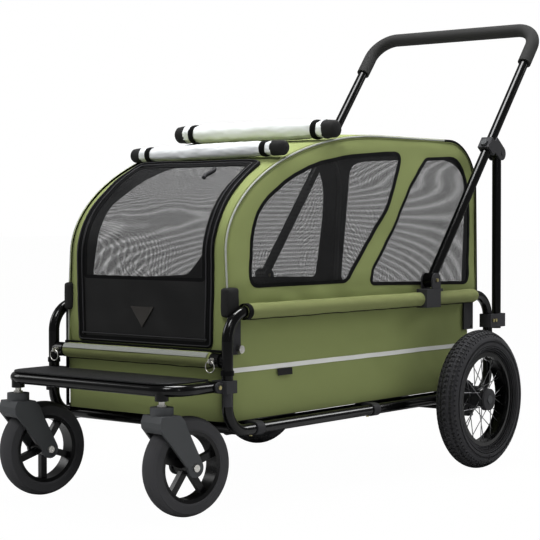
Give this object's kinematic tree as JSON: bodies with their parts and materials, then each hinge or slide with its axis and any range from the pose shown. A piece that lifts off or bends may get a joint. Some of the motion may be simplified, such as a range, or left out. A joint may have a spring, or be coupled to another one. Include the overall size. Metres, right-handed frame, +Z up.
{
  "type": "pet stroller",
  "caption": "Folding pet stroller with a sewn mesh cabin, lift-up front door, push handle with braces, footboard, swivel casters and spoked rear wheels.",
  "frame": {"origin": "on the ground under the middle of the whole stroller, wheels on z = 0", "axes": "+Z up, the front and its casters face -Y, the push handle is at +Y, +X is to the right when looking along +Y"},
  "size_m": [0.692, 1.3633, 1.0391],
  "materials": {
    "powder_coat": "satin black powder coat",
    "black_plastic": "moulded black plastic, fine texture",
    "fork_plastic": "dark grey glass-filled plastic",
    "tyre_rubber": "charcoal rubber",
    "caster_rubber": "dark grey foamed rubber",
    "foam_grip": "matt black foam",
    "zinc": "bright zinc plate",
    "board_plastic": "grained black plastic",
    "floor_panel": "black faced fibreboard",
    "olive_canvas": "woven olive polyester canvas",
    "black_canvas": "black woven polyester",
    "mattress_cloth": "quilted olive cloth over foam",
    "rain_film": "clear flexible film, rolled",
    "spring_steel": "black painted spring steel",
    "reflective_tape": "light grey retroreflective tape"
  },
  "bodies": {
    "frame": {"side_loops": "powder_coat", "base_rails": "powder_coat", "cross_tubes": "powder_coat", "crossbar": "powder_coat", "crossbar_sleeve": "olive_canvas", "rail_sleeves": "olive_canvas", "rail_saddles": "black_plastic", "frame_bolts": "zinc", "post_brackets": "black_plastic", "axle_plates": "powder_coat", "brake_housings": "black_plastic", "handle_clamps": "black_plastic", "pole_clips": "black_plastic", "floor_board": "floor_panel", "mattress": "mattress_cloth", "tub": "olive_canvas", "canopy_sides": "olive_canvas", "canopy_roof": "olive_canvas", "canopy_back": "olive_canvas", "hood_arcs": "spring_steel", "hood_legs": "black_plastic", "rain_rolls": "rain_film", "reflective_tapes": "reflective_tape"},
    "footboard": {"footboard_tube": "powder_coat", "footboard_plate": "board_plastic"},
    "caster_left": {"caster_fork_left": "fork_plastic", "caster_pins_left": "zinc"},
    "caster_wheel_left": {"caster_rim_left": "fork_plastic", "caster_tyre_left": "caster_rubber"},
    "rear_wheel_left": {"rear_hub_left": "black_plastic", "rear_spokes_left": "zinc", "rear_rim_left": "powder_coat", "rear_tyre_left": "tyre_rubber"},
    "hub_button_left": {"hub_button_left": "black_plastic"},
    "latch_button_left": {"latch_button_left": "black_plastic"},
    "brace_pole_left": {"brace_pole_left": "powder_coat"},
    "pull_pin_left": {"pull_pin_left": "zinc"},
    "lock_pin_left": {"lock_pin_left": "zinc"},
    "hood_knob_left": {"hood_knob_left": "zinc"},
    "caster_right": {"caster_fork_right": "fork_plastic", "caster_pins_right": "zinc"},
    "caster_wheel_right": {"caster_rim_right": "fork_plastic", "caster_tyre_right": "caster_rubber"},
    "rear_wheel_right": {"rear_hub_right": "black_plastic", "rear_spokes_right": "zinc", "rear_rim_right": "powder_coat", "rear_tyre_right": "tyre_rubber"},
    "hub_button_right": {"hub_button_right": "black_plastic"},
    "latch_button_right": {"latch_button_right": "black_plastic"},
    "brace_pole_right": {"brace_pole_right": "powder_coat"},
    "pull_pin_right": {"pull_pin_right": "zinc"},
    "lock_pin_right": {"lock_pin_right": "zinc"},
    "hood_knob_right": {"hood_knob_right": "zinc"},
    "handle": {"handle_tube": "powder_coat", "handle_grip": "foam_grip", "latch_collars": "black_plastic"},
    "door": {"front_door": "black_canvas", "door_badge": "black_plastic"},
    "pedal": {"brake_pedal": "powder_coat"}
  },
  "joints": [
    {"name": "handle_fold", "type": "hinge", "parent": "frame", "child": "handle", "pos_m": [0, 0.1895, 0.422], "axis": [1, 0, 0], "range_deg": [0, 115]},
    {"name": "brace_fold_left", "type": "hinge", "parent": "handle", "child": "brace_pole_left", "pos_m": [-0.24, 0.4695, 0.712], "axis": [1, 0, 0], "range_deg": [-38.5, 0]},
    {"name": "brace_fold_right", "type": "hinge", "parent": "handle", "child": "brace_pole_right", "pos_m": [0.24, 0.4695, 0.712], "axis": [1, 0, 0], "range_deg": [-38.5, 0]},
    {"name": "latch_press_left", "type": "slide", "parent": "handle", "child": "latch_button_left", "axis": [0, 0.7837, -0.6211], "range_m": [0, 0.003], "stiffness_N_per_m": 900, "springref_m": -0.002},
    {"name": "latch_press_right", "type": "slide", "parent": "handle", "child": "latch_button_right", "axis": [0, 0.7837, -0.6211], "range_m": [0, 0.003], "stiffness_N_per_m": 900, "springref_m": -0.002},
    {"name": "footboard_fold", "type": "hinge", "parent": "frame", "child": "footboard", "pos_m": [0, -0.534, 0.241], "axis": [-1, 0, 0], "range_deg": [0, 45]},
    {"name": "caster_swivel_left", "type": "hinge", "parent": "footboard", "child": "caster_left", "pos_m": [-0.196, -0.6435, 0.2], "axis": [0, 0, 1], "continuous": true},
    {"name": "caster_swivel_right", "type": "hinge", "parent": "footboard", "child": "caster_right", "pos_m": [0.196, -0.6435, 0.2], "axis": [0, 0, 1], "continuous": true},
    {"name": "caster_roll_left", "type": "hinge", "parent": "caster_left", "child": "caster_wheel_left", "pos_m": [-0.1861, -0.58737, 0.095], "axis": [0.9848, -0.1736, 0], "continuous": true},
    {"name": "caster_roll_right", "type": "hinge", "parent": "caster_right", "child": "caster_wheel_right", "pos_m": [0.2059, -0.58737, 0.095], "axis": [0.9848, -0.1736, 0], "continuous": true},
    {"name": "rear_roll_left", "type": "hinge", "parent": "frame", "child": "rear_wheel_left", "pos_m": [-0.318, 0.2705, 0.155], "axis": [1, 0, 0], "continuous": true},
    {"name": "rear_roll_right", "type": "hinge", "parent": "frame", "child": "rear_wheel_right", "pos_m": [0.318, 0.2705, 0.155], "axis": [1, 0, 0], "continuous": true},
    {"name": "hub_press_left", "type": "slide", "parent": "rear_wheel_left", "child": "hub_button_left", "axis": [1, 0, 0], "range_m": [0, 0.004], "stiffness_N_per_m": 800, "springref_m": -0.002},
    {"name": "hub_press_right", "type": "slide", "parent": "rear_wheel_right", "child": "hub_button_right", "axis": [-1, 0, 0], "range_m": [0, 0.004], "stiffness_N_per_m": 800, "springref_m": -0.002},
    {"name": "door_lift", "type": "hinge", "parent": "frame", "child": "door", "pos_m": [0, -0.304, 0.676], "axis": [-1, 0, 0], "range_deg": [0, 60]},
    {"name": "pin_pull_left", "type": "slide", "parent": "frame", "child": "pull_pin_left", "axis": [0, -1, 0], "range_m": [0, 0.006], "stiffness_N_per_m": 700, "springref_m": -0.004},
    {"name": "pin_pull_right", "type": "slide", "parent": "frame", "child": "pull_pin_right", "axis": [0, -1, 0], "range_m": [0, 0.006], "stiffness_N_per_m": 700, "springref_m": -0.004},
    {"name": "knob_turn_left", "type": "hinge", "parent": "frame", "child": "hood_knob_left", "pos_m": [-0.231, -0.4585, 0.308], "axis": [1, 0, 0], "continuous": true},
    {"name": "knob_turn_right", "type": "hinge", "parent": "frame", "child": "hood_knob_right", "pos_m": [0.231, -0.4585, 0.308], "axis": [1, 0, 0], "continuous": true},
    {"name": "brake_press", "type": "hinge", "parent": "frame", "child": "pedal", "pos_m": [0, 0.335, 0.121], "axis": [-1, 0, 0], "range_deg": [0, 20]},
    {"name": "lock_slide_left", "type": "slide", "parent": "frame", "child": "lock_pin_left", "axis": [-1, 0, 0], "range_m": [0, 0.009]},
    {"name": "lock_slide_right", "type": "slide", "parent": "frame", "child": "lock_pin_right", "axis": [1, 0, 0], "range_m": [0, 0.009]}
  ],
  "couplings": [
    {"joint": "brace_fold_left", "follows": "handle_fold", "ratio": -0.334},
    {"joint": "brace_fold_right", "follows": "handle_fold", "ratio": -0.334},
    {"joint": "lock_slide_left", "follows": "brake_press", "m_per_rad": 0.025783},
    {"joint": "lock_slide_right", "follows": "brake_press", "m_per_rad": 0.025783}
  ]
}
